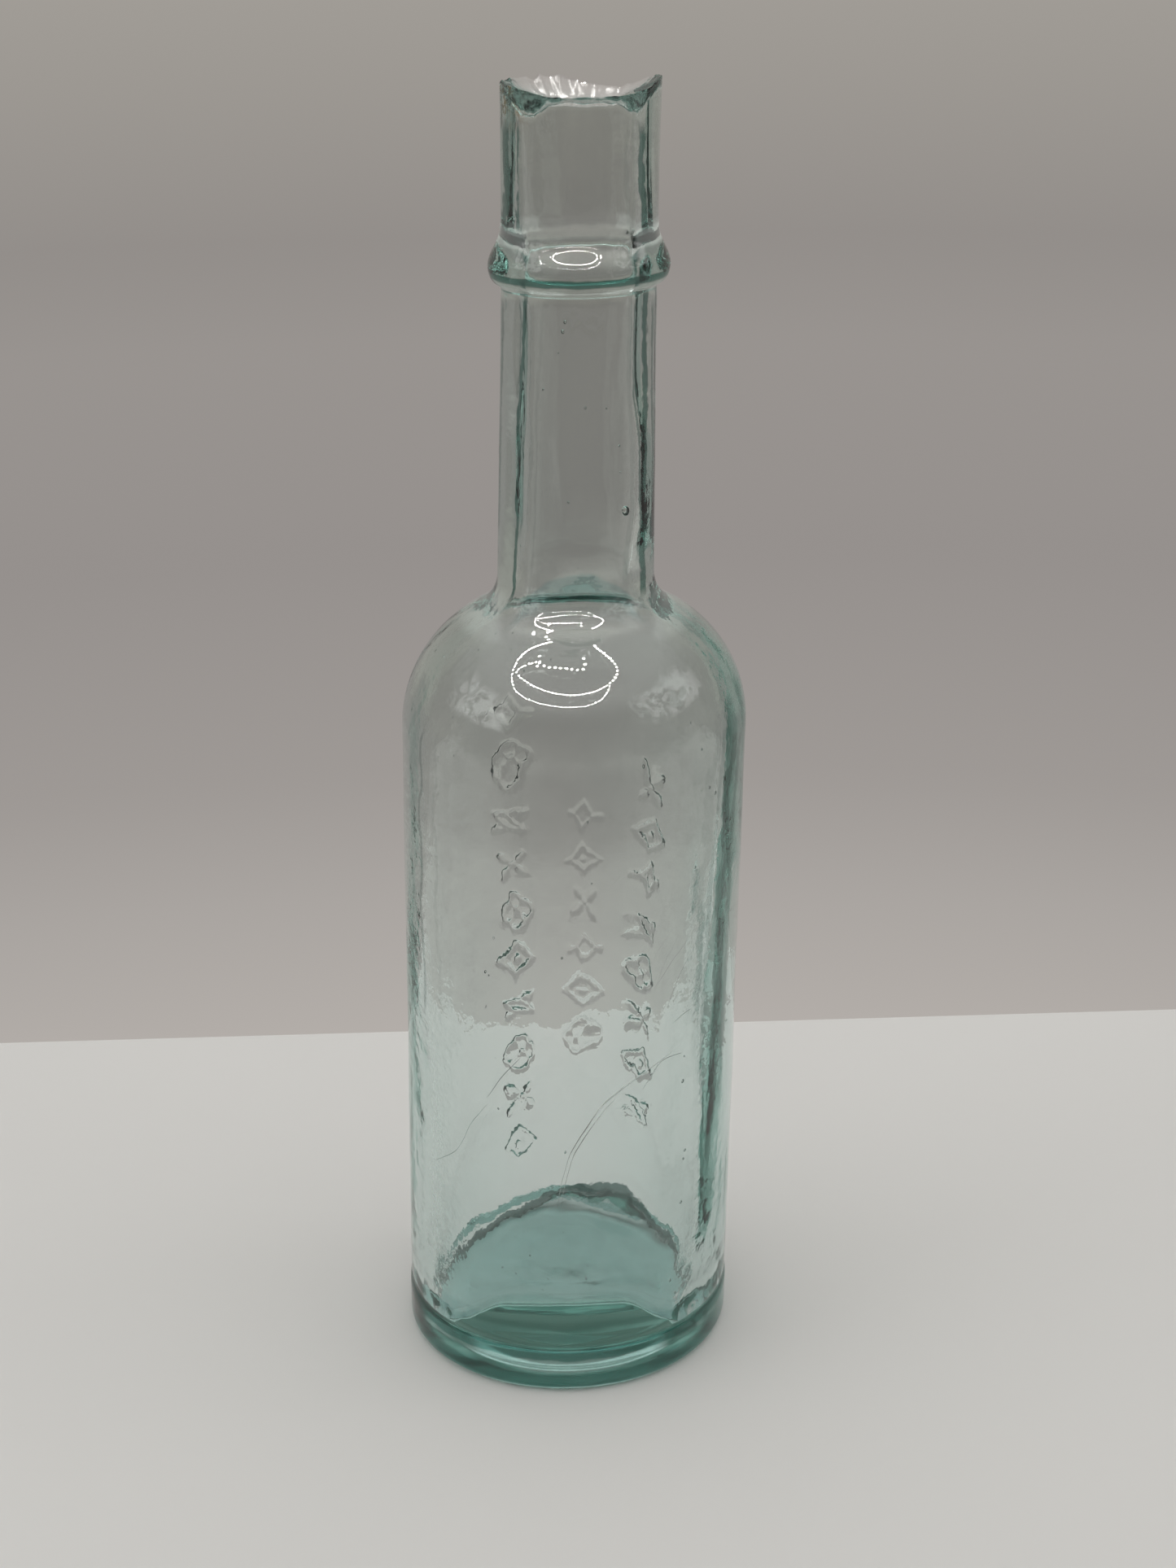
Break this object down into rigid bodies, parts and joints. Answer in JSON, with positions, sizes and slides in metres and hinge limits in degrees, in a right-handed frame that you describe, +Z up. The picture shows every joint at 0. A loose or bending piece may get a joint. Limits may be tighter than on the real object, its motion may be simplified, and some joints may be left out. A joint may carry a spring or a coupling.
{
  "type": "relish bottle",
  "caption": "Empty pale aqua glass relish bottle, round, with a foot band, round shoulder, long ringed neck and a broken-off mouth",
  "frame": {"origin": "centre of the flat resting ring under the foot", "axes": "+Z up through the neck, -Y towards the front that the picture shows, +X to the picture's right, the way the neck leans"},
  "size_m": [0.061, 0.0582, 0.2202],
  "materials": {
    "aqua_glass": "clear pale aqua glass, teal where it is thick, wavy inside, with seed bubbles, fine cracks and a rough broken edge"
  },
  "bodies": {
    "root": {"bottle": "aqua_glass"}
  },
  "joints": []
}
